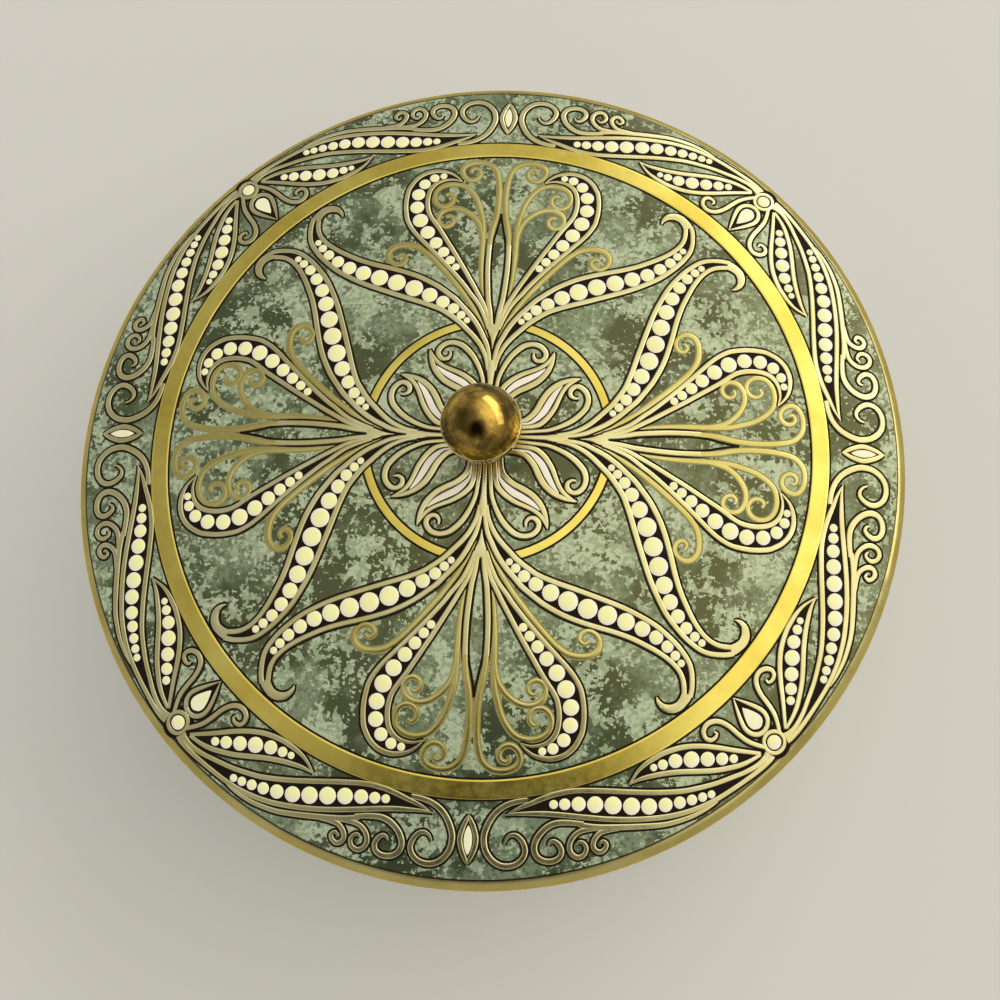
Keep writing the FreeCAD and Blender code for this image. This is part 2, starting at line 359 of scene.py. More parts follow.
def printed_sheet(name, middle, gold_share_of, line_share_of, roll):
    """Tinplate printed and lacquered outside, and plain inside."""
    material, shader = start_material(name)
    place = add_node(material, "ShaderNodeTexCoord", output="Object")
    outside = facing_out(material, place, middle)
    gold_share = gold_share_of(material, place)
    line_share = line_share_of(material, place)
    gold, roughness = lacquer_tone(material, place, rim_deep_gold, rim_bright_gold)
    lacquered = add_node(material, "ShaderNodeMix", {
        0: gold_share, 6: mottled_print(material, place), 7: gold}, output=2, data_type="RGBA")
    lined = add_node(material, "ShaderNodeMix", {
        0: line_share, 6: lacquered, 7: linear(line_ink)}, output=2, data_type="RGBA")
    colour = add_node(material, "ShaderNodeMix", {
        0: outside, 6: linear(inside_tin), 7: lined}, output=2, data_type="RGBA")
    bare_gold = add_node(material, "ShaderNodeMath", {0: gold_share, 1: line_share}, operation="SUBTRACT",
                         use_clamp=True)
    inside = add_node(material, "ShaderNodeMath", {0: 1.0, 1: outside}, operation="SUBTRACT")
    bare = add_node(material, "ShaderNodeMath", {0: bare_gold, 1: inside}, operation="MAXIMUM")
    metal = add_node(material, "ShaderNodeMath", {0: bare, 1: shine_through}, operation="MAXIMUM")
    peel = add_node(material, "ShaderNodeTexNoise", {
        "Vector": place, "Scale": per_metre(peel_size), "Detail": 2.0})
    bump = add_node(material, "ShaderNodeBump", {
        "Strength": peel_strength, "Distance": peel_depth, "Height": peel,
        "Normal": rolled_normal(material, place, *roll)})
    fill_sockets(material, shader, {
        "Base Color": colour, "Metallic": metal, "Roughness": roughness, "Normal": bump,
        "IOR": 1.5, "Specular IOR Level": 1.0, "Specular Tint": linear(gloss_yellow)})
    return material


def lid_gold(material, place):
    """Gold from the rim line outwards."""
    return add_node(material, "ShaderNodeMath", {
        0: axis_distance(material, place), 1: rim_line_radius}, operation="GREATER_THAN")


def lid_line(material, place):
    """The thin dark line round the print."""
    return add_node(material, "ShaderNodeMath", {
        0: axis_distance(material, place), 1: rim_line_radius, 2: rim_line_width / 2}, operation="COMPARE")


hem_radius = 1.1 * mm
hem = (lid_high.x - hem_radius, lid_low.z + hem_radius, hem_radius, lid_low.z)
lid_sheet = printed_sheet("lithographed_tinplate_lid", (0, 0, lid_low.z), lid_gold, lid_line, hem)
print("made", lid_sheet.name)

# %% Wall print
wall_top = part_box("body_wall")[1].z
band_line_width = 0.45 * mm
lower_band = 9 * mm
upper_band = lid_low.z - 8 * mm
curl_ring, curl_radius = 102.5 * mm, 1.5 * mm
curl = (curl_ring, wall_top - curl_radius, curl_radius, wall_top - curl_radius)


def wall_gold(material, place):
    """A gold band at the foot of the wall and another at its head."""
    height = add_node(material, "ShaderNodeSeparateXYZ", {0: place}, output="Z")
    foot = add_node(material, "ShaderNodeMath", {0: height, 1: lower_band}, operation="LESS_THAN")
    head = add_node(material, "ShaderNodeMath", {0: height, 1: upper_band}, operation="GREATER_THAN")
    return add_node(material, "ShaderNodeMath", {0: foot, 1: head}, operation="MAXIMUM")


def wall_line(material, place):
    """A dark line at the inner edge of each band."""
    height = add_node(material, "ShaderNodeSeparateXYZ", {0: place}, output="Z")
    low = add_node(material, "ShaderNodeMath", {
        0: height, 1: lower_band, 2: band_line_width / 2}, operation="COMPARE")
    high = add_node(material, "ShaderNodeMath", {
        0: height, 1: upper_band, 2: band_line_width / 2}, operation="COMPARE")
    return add_node(material, "ShaderNodeMath", {0: low, 1: high}, operation="MAXIMUM")


wall_sheet = printed_sheet("lithographed_tinplate_wall", (0, 0, wall_top / 2), wall_gold, wall_line, curl)
print("made", wall_sheet.name)

# %% [markdown]
# ## Bare tin, brass and steel
#
# The base is plain rolled tinplate: a pale grey metal with faint streaks along the rolling direction. The
# ball and its collar are pressed brass, polished bright and then tarnished brown in soft clouds, with
# fingermarks that change the roughness more than the colour. The same brass in paler colours is a painted
# highlight along the ball's rolled edge. The screw and its washer are zinc plated steel.

# %% Bare tin
streak_width, streak_draw_share, tin_cloud_size = 0.9, 0.04, 16
tin_grey, tin_pale = "#A8A294", "#CBC6B9"
seam_radius, seam_level = 0.65 * mm, 2.4 * mm
seam_fold = (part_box("base_panel")[1].x - seam_radius, seam_level, seam_radius, seam_level)


def rolled_tin():
    """Rolled tinplate with streaks along X."""
    material, shader = start_material("rolled_tinplate")
    place = add_node(material, "ShaderNodeTexCoord", output="Object")
    drawn_out = add_node(material, "ShaderNodeMapping", {
        "Vector": place, "Scale": (streak_draw_share, 1, 1)})
    streak = add_node(material, "ShaderNodeTexNoise", {
        "Vector": drawn_out, "Scale": per_metre(streak_width), "Detail": 3.0})
    cloud = add_node(material, "ShaderNodeTexNoise", {
        "Vector": place, "Scale": per_metre(tin_cloud_size), "Detail": 3.0})
    colour = add_node(material, "ShaderNodeMix", {
        0: cloud, 6: linear(tin_grey), 7: linear(tin_pale)}, output=2, data_type="RGBA")
    roughness = add_node(material, "ShaderNodeMapRange", {"Value": streak, "To Min": 0.26, "To Max": 0.48})
    fill_sockets(material, shader, {
        "Base Color": colour, "Metallic": 1.0, "Roughness": roughness,
        "Normal": rolled_normal(material, place, *seam_fold)})
    return material


bare_tin = rolled_tin()
print("made", bare_tin.name)

# %% Brass and steel
tarnish_size, mark_size, zinc_cloud_size = 7, 1.1, 1.5
zinc_grey, zinc_pale = "#9A9A96", "#C2C3C0"


def tarnished_brass(name, bright_colour, dark_colour):
    """Polished brass under brown tarnish."""
    material, shader = start_material(name)
    place = add_node(material, "ShaderNodeTexCoord", output="Object")
    tarnish = add_node(material, "ShaderNodeTexNoise", {
        "Vector": place, "Scale": per_metre(tarnish_size), "Detail": 5.0, "Roughness": 0.6})
    marks = add_node(material, "ShaderNodeTexNoise", {
        "Vector": place, "Scale": per_metre(mark_size), "Detail": 4.0})
    tarnish_share = add_node(material, "ShaderNodeMapRange", {
        "Value": tarnish, "From Min": 0.36, "From Max": 0.64}, interpolation_type="SMOOTHSTEP")
    colour = add_node(material, "ShaderNodeMix", {
        0: tarnish_share, 6: linear(bright_colour), 7: linear(dark_colour)}, output=2, data_type="RGBA")
    roughness = add_node(material, "ShaderNodeMapRange", {
        "Value": marks, "From Min": 0.3, "From Max": 0.7, "To Min": 0.1, "To Max": 0.18})
    fill_sockets(material, shader, {"Base Color": colour, "Metallic": 1.0, "Roughness": roughness})
    return material


def zinc_plate():
    """Bright zinc on steel, mottled by handling."""
    material, shader = start_material("zinc_plated_steel")
    place = add_node(material, "ShaderNodeTexCoord", output="Object")
    cloud = add_node(material, "ShaderNodeTexNoise", {
        "Vector": place, "Scale": per_metre(zinc_cloud_size), "Detail": 4.0})
    colour = add_node(material, "ShaderNodeMix", {
        0: cloud, 6: linear(zinc_grey), 7: linear(zinc_pale)}, output=2, data_type="RGBA")
    roughness = add_node(material, "ShaderNodeMapRange", {"Value": cloud, "To Min": 0.25, "To Max": 0.5})
    fill_sockets(material, shader, {"Base Color": colour, "Metallic": 1.0, "Roughness": roughness})
    return material


brass = tarnished_brass("polished_tarnished_brass", "#CFA94E", "#5E4C24")
# A paler copy of the brass, as a painted highlight for the ball's rolled edge.
highlight_brass = tarnished_brass("brass_painted_highlight", "#E3C98A", "#B59A5C")
zinc = zinc_plate()
print("made", ", ".join(metal.name for metal in (brass, highlight_brass, zinc)))

# %% [markdown]
# ## Dress the solids
#
# The solids keep their meshes. Each one only gets its finish in its material slot.

# %% Dress the solids
finish_of = {
    "body_wall": wall_sheet, "base_panel": bare_tin, "lid_shell": lid_sheet,
    "knob_cap": brass, "knob_cup": brass, "knob_insert": brass, "knob_collar": brass,
    "knob_screw": zinc, "screw_washer": zinc}
for node, material in finish_of.items():
    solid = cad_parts[node]
    solid.data.materials.clear()
    solid.data.materials.append(material)
print("dressed", len(finish_of), "solids")

# %% [markdown]
# ## Drawing the ornament
#
# The lid carries a traditional arabesque: four palmettes in a gold ring, pearled leaves, scrolls, and a
# border of leaves and C-scrolls. One eighth of it holds everything, because each quarter is a mirror
# image of itself about its own axis. So each line is drawn once, on a plan in millimetres with X across
# the palmette and Y out from the knob, and then copied eight times.
#
# A line is a smooth curve through a few points, and it also has a half width that may swell and taper.
# Treating x, y and half width as the three parts of one vector lets a single Bezier call smooth all three
# together.

# %% Smooth lines
span_steps = 5


def width_along(half_widths, share):
    """Half width at a share of the way along a line."""
    place = share * (len(half_widths) - 1)
    low = min(int(place), len(half_widths) - 2)
    return half_widths[low] + (half_widths[low + 1] - half_widths[low]) * (place - low)


def flow(points, half_widths, steps=span_steps):
    """A smooth line through the points, as vectors of x, y and half width."""
    last = len(points) - 1
    knots = [Vector((x, y, width_along(half_widths, i / last))) for i, (x, y) in enumerate(points)]
    knots = [2 * knots[0] - knots[1], *knots, 2 * knots[-1] - knots[-2]]
    line = []
    for before, start, end, after in zip(knots, knots[1:], knots[2:], knots[3:]):
        line += interpolate_bezier(start, start + (end - before) / 6, end - (after - start) / 6, end,
                                   steps + 1)[:-1]
    return line + [knots[-2]]


print("a line has", span_steps, "steps between two points")

# %% [markdown]
# The ornament has several kinds of mark: raised gold lines over dark ink, soft gold tendrils over an
# olive shade, a gold circle over its own ink, cream fills and hearts, and round pearls. Each kind is
# collected in a list of its own, already copied round the lid, and turned into one mesh later. A gold
# line puts a wider and lower ink line beneath itself, and a tendril does the same with its shade.

# %% Copies and collections
quarter_turns = [Matrix.Rotation(math.radians(90 * turn), 3, "Z") for turn in range(4)]
mirror_image = Matrix.Diagonal((-1, 1, 1))
eight_ways = quarter_turns + [turn @ mirror_image for turn in quarter_turns]

line_half = 0.66
ink_margin = 0.45
shade_margin = 0.32
drawn = {"gold": [], "tendril": [], "shade": [], "ink": [], "fill": [], "heart": [], "circle": [],
         "circle_ink": []}
pearls = []


def draw(kind, line, copies=eight_ways):
    """Add a line to one kind of mark, copied round the lid."""
    drawn[kind] += [[turn @ point for point in line] for turn in copies]


def widened(line, margin):
    """The same line with more on both sides."""
    return [point + Vector((0, 0, margin)) for point in line]


def draw_outlined(points, half_widths=(line_half, line_half), copies=eight_ways):
    """A raised gold line with an ink line showing on both sides."""
    line = flow(points, half_widths)
    draw("gold", line, copies)
    draw("ink", widened(line, ink_margin), copies)
    return line


def draw_tendril(points, half_widths):
    """A soft gold line with an olive shade on both sides."""
    line = flow(points, half_widths)
    draw("tendril", line)
    draw("shade", widened(line, shade_margin))


print("each mark is copied", len(eight_ways), "times")

# %% [markdown]
# A pearled leaf is two gold edges with dark ink between them and a string of pearls on the ink. The ink
# is one fat line down the middle: each point of one edge is paired with the nearest point of the other,
# which gives the middle and the half width at once. The pearls are set by walking along their string and
# putting down the next one as soon as there is room for it. The gap between them is the widest that still
# leaves room for all, found by halving.

# %% Pearled leaves
string_steps = 60
widest_gap = 1.0
gap_halvings = 12


def between(edge, other_edge):
    """The line down the middle of two edges, as wide as the space between them."""
    middle = []
    for point in edge:
        partner = min(other_edge, key=lambda other: (other.xy - point.xy).length)
        centre = (point.xy + partner.xy) / 2
        middle.append(Vector((centre.x, centre.y, (point.xy - partner.xy).length / 2)))
    return middle


def set_pearls(walk, gap):
    """Pearls along a walk, each as large as the walk is wide and a gap from the one before."""
    string = [walk[0]]
    for point in walk:
        if (point.xy - string[-1].xy).length >= point.z + string[-1].z + gap:
            string.append(point)
    return string


def string_pearls(points, radii, count):
    """A string of so many pearls, evenly spread from the first point to the last."""
    walk = flow(points, radii, string_steps)
    gap, too_wide = 0.0, widest_gap
    for _ in range(gap_halvings):
        middle = (gap + too_wide) / 2
        if len(set_pearls(walk, middle)) >= count:
            gap = middle
        else:
            too_wide = middle
    string = set_pearls(walk, gap)
    pearls.extend(turn @ pearl for pearl in string for turn in eight_ways)
    print(f"a string of {len(string)} pearls, {gap:.2f} mm apart")


def draw_leaf(edge, other_edge, edge_widths, string, radii, count):
    """One pearled leaf: ink between two gold edges, and a string of pearls on it."""
    draw("ink", between(draw_outlined(edge, edge_widths), draw_outlined(other_edge, edge_widths)))
    string_pearls(string, radii, count)


print("a string of pearls is walked in", string_steps, "steps between two points")

# %% [markdown]
# ### The palmette's trunk and long leaf
#
# Each palmette grows from under the knob as one stem. The stem parts at a dark notch, and its two halves
# become the edges of the long S-shaped leaves, which end in a gold claw near the ring.

# %% Trunk and long leaf
draw_outlined([(0, 5.5), (0, 10), (0, 14), (0, 17), (0, 19.6)], (0.45, 0.5, 0.66, 1.0, 0.7),
               quarter_turns)
draw_leaf(
    [(0.3, 16), (0.6, 19.6), (0.97, 22), (1.55, 24), (2.5, 26), (3.5, 28), (4.75, 30), (6.3, 32),
     (8.15, 34), (10.1, 36.1), (12, 37.6), (14, 39.1), (16, 40.4), (20, 42.4), (24, 43.8), (28, 44.9),
     (32, 45.9), (36, 47.2), (40, 49), (42.5, 50.3), (45, 52), (46.8, 53.8), (47.8, 55.5), (48.25, 57.2),
     (48.4, 59.3)],
    [(0.8, 17), (1.35, 19.8), (2.2, 22), (3.3, 24), (4.9, 26), (6.85, 28), (8.9, 30), (11.8, 32.1),
     (14, 33.4), (18, 34.9), (22, 36.15), (26, 37.45), (30, 38.8), (34, 40.25), (38, 42.1), (42, 44.4),
     (46, 47.8), (48.3, 50.5), (49.5, 52.5), (50.05, 54.5), (50.2, 56.5), (50.15, 58.2), (49.8, 60)],
    (0.45, 0.62, 0.68, 0.68, 0.66, 0.66, 0.62, 0.62),
    [(6.85, 30.3), (10.7, 33.7), (16.8, 37.2), (21.1, 39.1), (25.8, 40.7), (30.4, 42.05), (38.3, 44.75),
     (44.1, 48.5), (47.6, 52.4)],
    (0.83, 1.48, 2.04, 2.36, 2.34, 2.28, 1.88, 1.47, 0.88), 14)
draw_outlined([(49.05, 59.3), (48.75, 60.1), (48.1, 61.1), (47.25, 62.05), (46.15, 62.6), (45.1, 62.75),
               (43.8, 62.5), (42.8, 61.75), (42.25, 60.9), (42, 60)],
              (1.28, 1.28, 1.15, 1.1, 1.08, 1, 0.86, 0.62, 0.35, 0.04))

# %% [markdown]
# ### The heart leaf and its tendrils
#
# A second stem rises in the notch as a gold fan and parts round a slim green lens. Beside the lens run
# two gold stems with a dark line between them. Higher up their outlines fade, and they end in soft curled
# tendrils inside the heart-shaped pair of pearled leaves. One more tendril curls out under each heart
# leaf.

# %% Heart leaf
draw_outlined([(0, 22.4), (0, 24.2), (0, 26), (0, 27.8), (0, 29.3)], (0.05, 0.28, 0.8, 1.45, 1.1),
               quarter_turns)
draw_leaf(
    [(1, 28.5), (1.6, 31), (2.6, 34), (3.6, 36), (4.7, 38), (5.8, 40), (8.15, 44), (10.5, 48), (13, 52),
     (15.5, 56), (16.9, 58), (18.3, 60), (19.25, 62), (19.75, 65), (19.45, 68), (18.4, 70.1),
     (16.4, 71.5), (13.6, 72), (11, 71.4)],
    [(1.3, 28), (2.4, 31), (3.75, 34), (5.05, 36), (6.65, 38), (8.1, 40), (11.5, 44), (15.2, 48),
     (19.1, 52), (21.05, 54), (22.75, 56), (24, 58), (24.8, 60), (25.4, 64), (25.2, 68), (24.5, 70),
     (23.3, 72), (21.3, 73.7), (18.6, 74.6), (16, 74.5), (14, 73.9), (12.3, 72.7), (11, 71.4)],
    (0.45, 0.58, 0.6, 0.6, 0.62, 0.62, 0.15),
    [(10.7, 45.35), (14.3, 49.75), (19.05, 55.7), (21.2, 59.25), (22.4, 63.3), (22.3, 67.4), (20.9, 70.5),
     (18.5, 72.4), (16.1, 73.05)],
    (1.0, 1.5, 1.95, 2.06, 1.88, 1.78, 1.55, 1.28, 0.92), 11)

# %% Inner stems and tendrils
draw("gold", flow([(0.3, 26), (0.55, 28), (0.8, 30), (1.05, 32), (1.4, 34), (1.8, 36), (2.2, 40),
                   (2.48, 44), (2.56, 48), (2.5, 52)], (0.4, 0.6, 0.66, 0.62)))
draw("ink", flow([(0, 29.6), (0.38, 32), (0.7, 34), (1, 36), (1.35, 40), (1.65, 44), (1.77, 48),
                  (1.72, 51), (1.38, 54), (0.85, 56.3), (0.35, 59), (0, 61.5)], (0.4, 0.34, 0.3)))
draw("ink", flow([(1.5, 31.3), (1.95, 33), (2.4, 34.7), (2.75, 37), (2.97, 40), (3.3, 44), (3.4, 48),
                  (3.35, 51), (3.15, 53.6)], (0.1, 0.3, 0.3, 0.05)))
draw_tendril(
    [(2.5, 50), (2.3, 54), (1.95, 57), (1.3, 60), (0.98, 63), (0.88, 66), (1.05, 70), (1.75, 74),
     (2.9, 76.1), (4.8, 77.4), (7.2, 77.7), (9.3, 77.2), (10.8, 76.1), (11.2, 74.6), (10.5, 72.9),
     (8.9, 71.9), (7.2, 72.3), (6.3, 73.7), (6.7, 75.2), (7.9, 75.7), (8.8, 75),
     (8.5, 74.1)], (0.6, 0.6, 0.56, 0.54, 0.46, 0.28))
draw_tendril(
    [(2.75, 35.6), (3.3, 38), (3.7, 40), (4.05, 44), (4.25, 48), (4.35, 52), (4.4, 56), (4.7, 59.4),
     (5.4, 62), (6.2, 64.6), (7.3, 66.8), (8.7, 68.7), (10.5, 70.1), (13, 70.6), (15.6, 70.1),
     (17.5, 68.7), (18.1, 66.7), (17.6, 64.8), (16.2, 63.6), (14.4, 63.6), (13.1, 64.8), (13, 66.4),
     (14, 67.4), (15.1, 66.9)],
    (0.1, 0.54, 0.56, 0.56, 0.54, 0.46, 0.28))
draw_tendril(
    [(4.2, 52), (4.6, 55), (5.4, 57.8), (6.6, 59.7), (8.2, 61.3), (10.4, 62.6), (12.6, 63), (14.6, 62.5),
     (16.1, 61.2), (16.5, 59.3), (15.6, 57.7), (14.1, 57.3), (12.7, 58.1), (12.4, 59.6), (13.4, 60.6),
     (14.5, 60.2)], (0.54, 0.56, 0.54, 0.46, 0.28))
draw_tendril(
    [(1.2, 25.6), (2.2, 28), (3.1, 30), (4.35, 32), (5.6, 34), (6.9, 36), (8.35, 38), (9.95, 40),
     (13.3, 44), (17, 48), (19.3, 50), (21.5, 51.2), (24, 51.6), (26.5, 51.3), (28.2, 50), (28.6, 48.1),
     (27.6, 46.4), (25.8, 45.7), (24.2, 46.5), (23.9, 47.9), (25, 48.7), (26.1, 48)],
    (0.1, 0.44, 0.62, 0.64, 0.6, 0.48, 0.28))
print("tendrils:", len(drawn["tendril"]))

# %% [markdown]
# ### The flames round the knob
#
# Between the stems, small flame leaves with a cream heart and curled gold lines fan out from under the
# knob, inside a thin gold circle that passes behind the long leaves.

# %% Flames and inner circle
draw_outlined([(1.1, 6), (1.4, 10), (1.8, 14), (2.4, 16.2), (3.25, 18.2), (4.25, 20), (5.2, 21.3),
               (6.4, 22.55), (8, 23.75), (10, 24.2), (11.9, 23.7), (13.15, 22.4), (13.35, 21),
               (12.4, 19.9), (11.1, 19.85), (10.35, 20.8),
               (10.4, 21.9)], (0.42, 0.5, 0.68, 0.72, 0.66, 0.62, 0.25))
flame_edge = draw_outlined([(2.25, 5.6), (2.5, 9), (2.75, 11), (3.35, 12.6), (4.7, 14.1), (6.3, 15.3),
                            (8, 16.25), (10, 17.05), (12, 17.95), (13.6, 19.1), (14.8, 20.7),
                            (15.5, 22.4)],
                           (0.5, 0.58, 0.66, 0.66, 0.62, 0.56, 0.5, 0.5, 0.05))
flame_other_edge = draw_outlined([(3.7, 5), (3.9, 7.6), (4.65, 9.6), (6.75, 11.55), (9.25, 12.85),
                                  (11.4, 14.15), (13, 15.7), (14.1, 17.3), (14.9, 19.2), (15.35, 20.9),
                                  (15.55, 22.4)],
                                 (0.5, 0.6, 0.7, 0.78, 0.76, 0.72, 0.66, 0.4, 0.05))
draw("ink", between(flame_edge, flame_other_edge))
draw("fill", flow([(3.2, 6), (3.4, 9.2), (3.75, 10.5), (4.45, 11.5), (5.5, 12.6), (7, 13.75), (9.4, 15),
                   (11.5, 16.2), (12.9, 17.3), (13.6, 18)],
                  (0.1, 0.25, 0.36, 0.55, 0.72, 0.84, 0.8, 0.6, 0.3, 0.05)))

circle_radius, circle_start, circle_half, circle_spans = 29.9, 14.5, 0.96, 12
circle_angles = [math.radians(circle_start + (90 - 2 * circle_start) * step / circle_spans)
                 for step in range(circle_spans + 1)]
inner_circle = flow(
    [(circle_radius * math.sin(angle), circle_radius * math.cos(angle)) for angle in circle_angles],
    (circle_half, circle_half))
draw("circle", inner_circle, quarter_turns)
draw("circle_ink", widened(inner_circle, ink_margin), quarter_turns)
print("flames and circle are drawn")

# %% [markdown]
# ### The border outside the ring
#
# On each palmette's axis stands an almond between two large C-scrolls. From there a long pearled leaf and
# a row of smaller scrolls run along the border to a rosette on the diagonal, where a short pearled leaf,
# a curl and a drop end as well.

# %% Border leaves
draw_leaf(
    [(8.2, 87.3), (11, 86.9), (16, 86.7), (20, 86.8), (26, 87.2), (32, 87.5), (38, 87.4), (44, 86.8),
     (48, 85.95), (52, 84.65), (56, 82.75), (60, 80.3), (64, 77.55), (66.7, 75.5), (68.4, 73.7),
     (69, 72.6)],
    [(8.8, 87), (11, 85.8), (14, 84.5), (17, 83.2), (20, 82.2), (24, 81.45), (30, 81.3), (36, 81.4),
     (42, 81.4), (48, 81), (52, 80.2), (56, 79.1), (60, 77.6), (63, 76.4), (66, 74.7), (67.6, 73.2),
     (68.3, 72.2)],
    (0.15, 0.62, 0.62, 0.62, 0.6, 0.54, 0.56, 0.95),
    [(19.1, 84.6), (25.1, 84.35), (32.7, 84.45), (40.8, 84.5), (47.7, 83.5), (52.9, 82.2), (55.1, 81.5)],
    (1.0, 1.66, 2.0, 1.84, 1.4, 1.06, 0.9), 12)
draw_leaf(
    [(36.2, 79.7), (38, 78.8), (40, 78.1), (44, 77.2), (48, 76.7), (52, 76.5), (56, 76.2), (60, 75.4),
     (62, 74.8), (64, 73.9), (66.4, 72.5)],
    [(36.2, 79.7), (38, 76.9), (40, 75), (42, 73.7), (44, 72.6), (48, 71.3), (52, 70.9), (56, 71.1),
     (60, 71.6), (64, 72), (66.4, 72.2)],
    (0.2, 0.6, 0.62, 0.6, 0.4),
    [(41.65, 75.9), (46.7, 74.3), (50.4, 73.9), (57.6, 73.6), (60.2, 73.5)],
    (0.82, 1.62, 1.86, 1.42, 1.0), 7)

# %% Border scrolls
scroll_taper = (0.6, 0.74, 0.74, 0.7, 0.62, 0.2)
small_scroll_taper = (0.5, 0.6, 0.62, 0.6, 0.5, 0.25)
draw_outlined([(57, 82.9), (54.5, 84.5), (52, 85.85), (50, 86.75), (47, 87.75), (44, 88.45), (40, 88.85),
               (34, 89.2), (29, 89.3), (25, 88.9)], (0.05, 0.42, 0.5, 0.56, 0.6, 0.68, 0.7, 0.6))
draw_outlined([(13.2, 83.8), (10.5, 84.3), (8, 85.3), (6, 86.9), (4.65, 88.9), (3.75, 91.2), (3.6, 93),
               (4.1, 95.2), (5.5, 97.1), (7.3, 98.2), (9.3, 98.4), (11.2, 97.8), (12.6, 96.4), (13, 94.7),
               (12.3, 92.9), (11, 91.7), (9.7, 91.6), (8.7, 92.4), (8.2, 93.6)], scroll_taper)
draw_outlined([(26, 88.7), (23, 88.5), (20.3, 88.6), (18.3, 89.3), (16.6, 90.7), (15.4, 92.5), (15, 94.4),
               (15.7, 96.1), (17.3, 97), (19.3, 97), (20.8, 96.1), (21.2, 94.7), (20.5, 93.3),
               (19.4, 92.6), (18.5, 92.9), (18.2, 93.7)], scroll_taper)
draw_outlined([(30, 89.5), (27.5, 89.8), (25.4, 90.3), (24, 91.3), (23.1, 92.8), (23.05, 94.4),
               (23.9, 95.6), (25.2, 96), (26.4, 95.3), (26.8, 94), (26.2, 92.9), (25.2, 92.6),
               (24.6, 93.2)], small_scroll_taper)
draw_outlined([(34, 89.5), (31.8, 89.9), (29.9, 90.5), (28.7, 91.8), (28.3, 93.3), (28.9, 94.4),
               (30.1, 94.7), (31.1, 93.9), (31.3, 92.9), (30.5, 92.3), (29.8, 92.8)], small_scroll_taper)
draw_outlined([(67.4, 70.8), (65, 70.2), (63, 69.4), (61, 68), (59, 66.4), (57, 65.4), (55.2, 65.3),
               (53.7, 66.1), (53, 67.6), (53.4, 69), (54.6, 69.5), (55.7, 69), (56.1, 68.1),
               (55.5, 67.6)], small_scroll_taper)
print("gold lines so far:", len(drawn["gold"]))

# %% [markdown]
# The almond and the drop are symmetric, so only half of each frame is drawn, and the mirrored copy closes
# it. Their cream hearts and the rosette lie on an axis and are copied four times only. The rosette's ring
# runs a little past its own start, so that no gap can show.

# %% Almond, drop and rosette
def on_diagonal(out, aside):
    """A point given by its distance along the diagonal and its distance beside it."""
    return (out - aside) / math.sqrt(2), (out + aside) / math.sqrt(2)


draw_outlined([(0, 87.4), (0.45, 88.5), (1.3, 90.4), (1.85, 92.9), (1.3, 95.4), (0.45, 97.3), (0, 98.4)],
              (0.08, 0.46, 0.58, 0.6, 0.58, 0.46, 0.08))
draw("ink", flow([(0, 88.7), (0, 92.9), (0, 97.1)], (0.1, 1.6, 0.1)), quarter_turns)
draw("heart", flow([(0, 89.7), (0, 91.2), (0, 93), (0, 94.8), (0, 96.3)], (0.05, 0.75, 1.02, 0.75, 0.05)),
     quarter_turns)

draw_outlined([on_diagonal(out, aside) for out, aside in (
    (84.7, 0), (87.2, 1.25), (89.5, 2.3), (91.5, 2.9), (93.3, 2.6), (94.6, 1.5), (95.1, 0))],
              (0.1, 0.5, 0.58, 0.58, 0.58))
draw("ink", flow([on_diagonal(out, 0) for out in (86, 88.5, 91.7, 94.6)], (0.1, 1.5, 2.4, 0.8)),
     quarter_turns)
draw("heart", flow([on_diagonal(out, 0) for out in (87.7, 89, 90.5, 91.8, 93, 93.8)],
                   (0.05, 0.85, 1.55, 1.9, 1.6, 0.5)), quarter_turns)

rosette_out, rosette_ring, rosette_heart, rosette_bed = 98.45, 2.45, 1.7, 1.0
rosette = draw_outlined([on_diagonal(rosette_out - rosette_ring * math.cos(math.radians(turn)),
                                     rosette_ring * math.sin(math.radians(turn)))
                         for turn in range(-200, 201, 25)], (0.48, 0.48), quarter_turns)
draw("ink", widened(rosette, rosette_bed), quarter_turns)
heart_x, heart_y = on_diagonal(rosette_out, 0)
pearls.extend(turn @ Vector((heart_x, heart_y, rosette_heart)) for turn in quarter_turns)
print("pearls in all:", len(pearls))

# %% [markdown]
# ## From lines to relief
#
# Blender's curves sweep a section along each line and scale it by the half widths. The section is a low
# bead with a nearly flat top and short shoulders, as a press leaves it in sheet metal, and the widest
# lines are levelled off at the height of the rest. Ink and shade are films, and a plain flat section with
# fewer corners is enough for them. Modelling the sheet itself with the relief in it would take millions
# of faces, while beads that rise out of the sheet look the same and stay light. Their feet are hidden in
# the sheet's thickness.
#
# The kinds lie on each other in the order of printing: shade and inner circle lowest, then ink, then
# gold.

# %% Pieces and curves
thinnest = 0.03
sharp_angle = math.radians(40)


def finish_piece(shape, name, material, body, crease=sharp_angle):
    """Put a finished bmesh into the scene, riding on its body."""
    mesh = bpy.data.meshes.new(name)
    shape.to_mesh(mesh)
    shape.free()
    mesh.materials.append(material)
    mesh.polygons.foreach_set("use_smooth", [True] * len(mesh.polygons))
    mesh.set_sharp_from_angle(angle=crease)
    piece = bpy.data.objects.new(name, mesh)
    bpy.context.scene.collection.objects.link(piece)
    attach(piece, body)
    print(name, "has", len(mesh.polygons), "faces")
    return piece


def polylines(name, lines, closed=False):
    """A curve object of straight runs through points of x, y and thickness."""
    curve = bpy.data.curves.new(name, "CURVE")
    curve.dimensions = "3D"
    for line in lines:
        spline = curve.splines.new("POLY")
        spline.points.add(len(line) - 1)
        spline.use_cyclic_u = closed
        for point, (x, y, thickness) in zip(spline.points, line):
            point.co = (x, y, 0, 1)
            point.radius = max(thickness, thinnest)
    drawing = bpy.data.objects.new(name, curve)
    bpy.context.scene.collection.objects.link(drawing)
    return drawing


print("lines thinner than", 2 * thinnest, "mm are drawn at that width")

